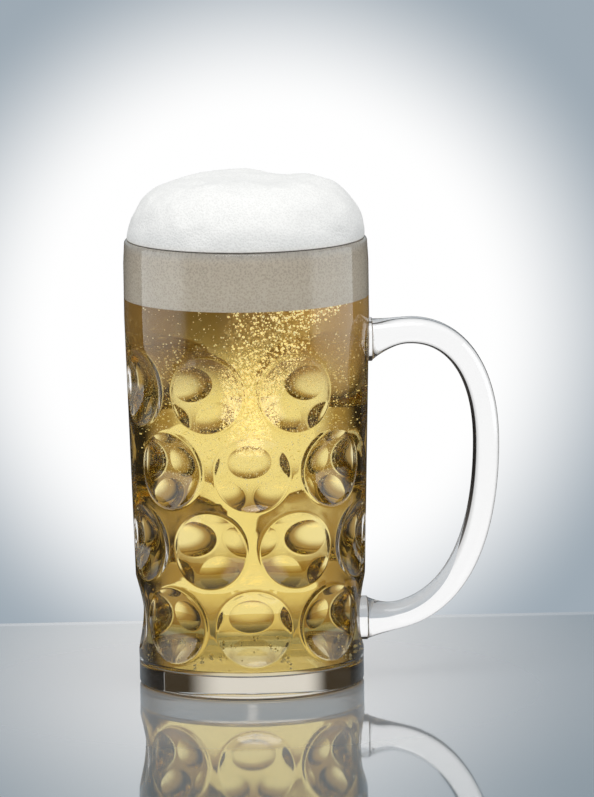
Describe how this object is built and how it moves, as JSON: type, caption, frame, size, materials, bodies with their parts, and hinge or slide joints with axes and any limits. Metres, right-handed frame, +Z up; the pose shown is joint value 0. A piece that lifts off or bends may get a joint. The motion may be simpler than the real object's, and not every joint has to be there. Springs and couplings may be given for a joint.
{
  "type": "beer mug",
  "caption": "Tall clear plastic beer mug with staggered round dimples, a thick clear base and a looped handle, filled with beer under a dome of foam.",
  "frame": {"origin": "centre of the base's flat underside", "axes": "+Z up along the mug's axis, +X from the axis towards the handle, -Y towards the viewer of the picture"},
  "size_m": [0.167, 0.1094, 0.2279],
  "materials": {
    "shell_plastic": "clear, polished",
    "base_plastic": "clear, polished",
    "handle_plastic": "clear, polished",
    "beer": "clear golden liquid",
    "foam": "fine matt froth"
  },
  "bodies": {
    "root": {"dimpled_shell": "shell_plastic", "base_disc": "base_plastic", "handle": "handle_plastic", "beer": "beer", "foam_head": "foam"}
  },
  "joints": []
}
